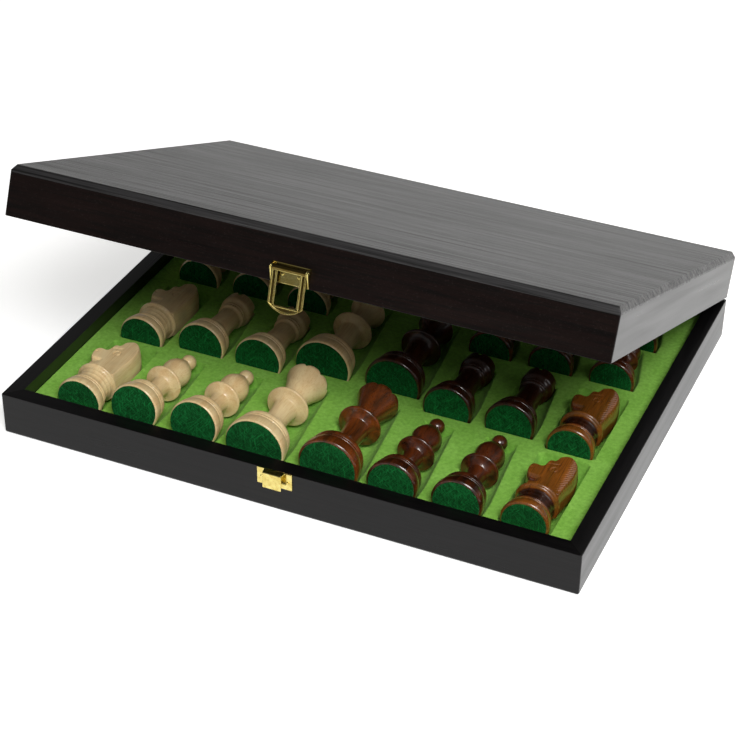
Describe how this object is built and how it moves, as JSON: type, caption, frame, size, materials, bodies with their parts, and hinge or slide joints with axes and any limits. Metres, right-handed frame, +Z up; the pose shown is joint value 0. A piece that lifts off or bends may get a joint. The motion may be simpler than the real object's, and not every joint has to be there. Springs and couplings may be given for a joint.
{
  "type": "chess box with hinged lid",
  "caption": "Low mitred wooden chess box with its hinged lid part open, a brass loop latch, and a flocked tray of nests in which turned chessmen lie.",
  "frame": {"origin": "centre of the case's underside, on the surface that it stands on", "axes": "+X along the long side, to the right as seen from the latch; +Y from the latch to the hinges; +Z up"},
  "size_m": [0.4, 0.3305, 0.1818],
  "materials": {
    "ebonised_wood": "satin",
    "lid_veneer": "satin",
    "tray_flock": "matt",
    "boxwood": "satin",
    "dark_lacquered_wood": "gloss",
    "base_felt": "matt",
    "polished_brass": "polished"
  },
  "bodies": {
    "case": {"base_front_rail": "ebonised_wood", "base_right_rail": "ebonised_wood", "base_back_rail": "ebonised_wood", "base_left_rail": "ebonised_wood", "base_bottom_panel": "ebonised_wood", "nest_tray": "tray_flock", "light_knight_1": "boxwood", "light_knight_2": "boxwood", "light_bishop_1": "boxwood", "light_bishop_2": "boxwood", "light_rook_1": "boxwood", "light_rook_2": "boxwood", "light_queen": "boxwood", "light_king": "boxwood", "light_pawn_1": "boxwood", "light_pawn_2": "boxwood", "light_pawn_3": "boxwood", "light_pawn_4": "boxwood", "light_pawn_5": "boxwood", "light_pawn_6": "boxwood", "light_pawn_7": "boxwood", "light_pawn_8": "boxwood", "dark_knight_1": "dark_lacquered_wood", "dark_knight_2": "dark_lacquered_wood", "dark_bishop_1": "dark_lacquered_wood", "dark_bishop_2": "dark_lacquered_wood", "dark_rook_1": "dark_lacquered_wood", "dark_rook_2": "dark_lacquered_wood", "dark_queen": "dark_lacquered_wood", "dark_king": "dark_lacquered_wood", "dark_pawn_1": "dark_lacquered_wood", "dark_pawn_2": "dark_lacquered_wood", "dark_pawn_3": "dark_lacquered_wood", "dark_pawn_4": "dark_lacquered_wood", "dark_pawn_5": "dark_lacquered_wood", "dark_pawn_6": "dark_lacquered_wood", "dark_pawn_7": "dark_lacquered_wood", "dark_pawn_8": "dark_lacquered_wood", "light_base_felts": "base_felt", "dark_base_felts": "base_felt", "keeper_plate": "polished_brass", "keeper_nails": "polished_brass", "hinge_base_leaf_left": "polished_brass", "hinge_base_leaf_right": "polished_brass", "hinge_base_screws": "polished_brass"},
    "lid": {"lid_front_rail": "ebonised_wood", "lid_right_rail": "ebonised_wood", "lid_back_rail": "ebonised_wood", "lid_left_rail": "ebonised_wood", "lid_top_panel": "lid_veneer", "hinge_lid_leaf_left": "polished_brass", "hinge_lid_leaf_right": "polished_brass", "hinge_lid_screws": "polished_brass", "hinge_pin_left": "polished_brass", "hinge_pin_right": "polished_brass", "latch_plate": "polished_brass", "latch_plate_nails": "polished_brass", "latch_pin": "polished_brass"},
    "latch_loop": {"latch_loop": "polished_brass"}
  },
  "joints": [
    {"name": "lid_hinge", "type": "hinge", "parent": "case", "child": "lid", "pos_m": [0, 0.1598, 0.03085], "axis": [-1, 0, 0], "range_deg": [-22.5, 77.5]},
    {"name": "latch_pivot", "type": "hinge", "parent": "lid", "child": "latch_loop", "pos_m": [-0.0011, -0.13263, 0.16264], "axis": [-1, 0, 0], "range_deg": [0, 190]}
  ]
}
